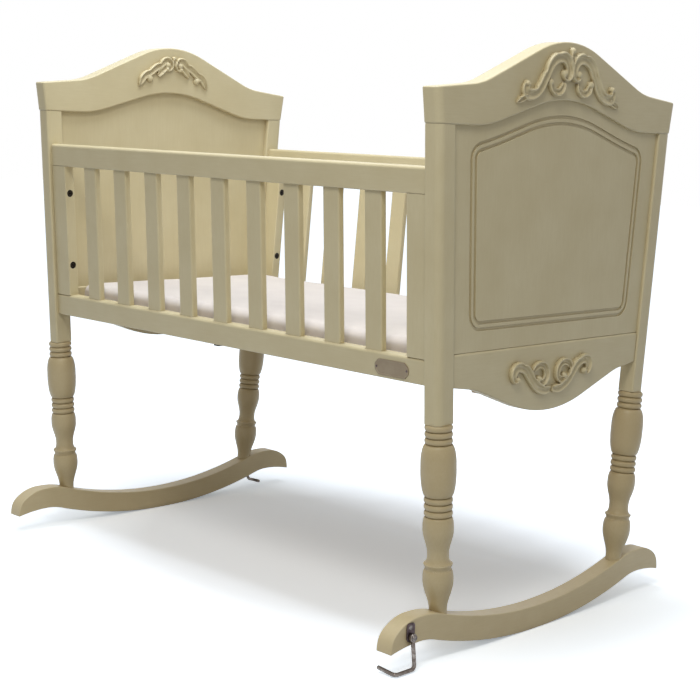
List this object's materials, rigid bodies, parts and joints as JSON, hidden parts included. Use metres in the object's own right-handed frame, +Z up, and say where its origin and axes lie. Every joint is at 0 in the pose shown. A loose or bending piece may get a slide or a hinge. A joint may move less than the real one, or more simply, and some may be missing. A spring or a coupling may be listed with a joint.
{
  "type": "rocking cradle",
  "caption": "Free-standing rocking cradle with arched carved end boards, slatted leaning sides, turned legs, curved rockers, a flat mattress and swing-down metal rocking stops.",
  "frame": {"origin": "middle of the overall plan, on the floor under the rockers' lowest flats", "axes": "+X along the cradle to the head end board, -Y to the front side with the nameplate, +Z up"},
  "size_m": [1.014, 0.6934, 0.9256],
  "materials": {
    "cream_paint": "brushed satin paint, slightly aged",
    "mattress_cover": "plain woven cotton cover",
    "bare_wood": "unfinished softwood and plywood",
    "bronze_plate": "aged dull bronze",
    "dark_steel": "dark browned steel",
    "zinc_screw": "zinc plated"
  },
  "bodies": {
    "root": {"head_crest": "cream_paint", "foot_crest": "cream_paint", "head_panel": "cream_paint", "foot_panel": "cream_paint", "head_apron": "cream_paint", "foot_apron": "cream_paint", "post_head_front": "cream_paint", "post_head_back": "cream_paint", "post_foot_front": "cream_paint", "post_foot_back": "cream_paint", "leg_head_front": "cream_paint", "leg_head_back": "cream_paint", "leg_foot_front": "cream_paint", "leg_foot_back": "cream_paint", "front_top_rail": "cream_paint", "front_bottom_rail": "cream_paint", "back_top_rail": "cream_paint", "back_bottom_rail": "cream_paint", "stile_head_front": "cream_paint", "stile_head_back": "cream_paint", "stile_foot_front": "cream_paint", "stile_foot_back": "cream_paint", "slat_front_1": "cream_paint", "slat_front_2": "cream_paint", "slat_front_3": "cream_paint", "slat_front_4": "cream_paint", "slat_front_5": "cream_paint", "slat_front_6": "cream_paint", "slat_front_7": "cream_paint", "slat_front_8": "cream_paint", "slat_front_9": "cream_paint", "slat_back_1": "cream_paint", "slat_back_2": "cream_paint", "slat_back_3": "cream_paint", "slat_back_4": "cream_paint", "slat_back_5": "cream_paint", "slat_back_6": "cream_paint", "slat_back_7": "cream_paint", "slat_back_8": "cream_paint", "slat_back_9": "cream_paint", "crest_scrolls_outer": "cream_paint", "crest_scrolls_inner": "cream_paint", "apron_scrolls": "cream_paint", "head_rocker": "cream_paint", "foot_rocker": "cream_paint", "mattress": "mattress_cover", "mattress_board": "bare_wood", "board_cleats": "bare_wood", "frame_dowels": "bare_wood", "board_brackets": "dark_steel", "board_screws": "zinc_screw", "side_bolts": "dark_steel", "threaded_inserts": "zinc_screw", "rocker_screws": "zinc_screw", "stop_plates": "dark_steel", "stop_screws": "zinc_screw", "nameplate": "bronze_plate", "nameplate_nails": "bronze_plate"},
    "head_stop": {"head_stop_rod": "dark_steel"},
    "foot_stop": {"foot_stop_rod": "dark_steel"}
  },
  "joints": [
    {"name": "head_stop_swing", "type": "hinge", "parent": "root", "child": "head_stop", "pos_m": [0.5005, -0.307, 0.054], "axis": [-1, 0, 0], "range_deg": [-103, 203]},
    {"name": "foot_stop_swing", "type": "hinge", "parent": "root", "child": "foot_stop", "pos_m": [-0.5005, 0.307, 0.054], "axis": [1, 0, 0], "range_deg": [-19, 287]}
  ]
}
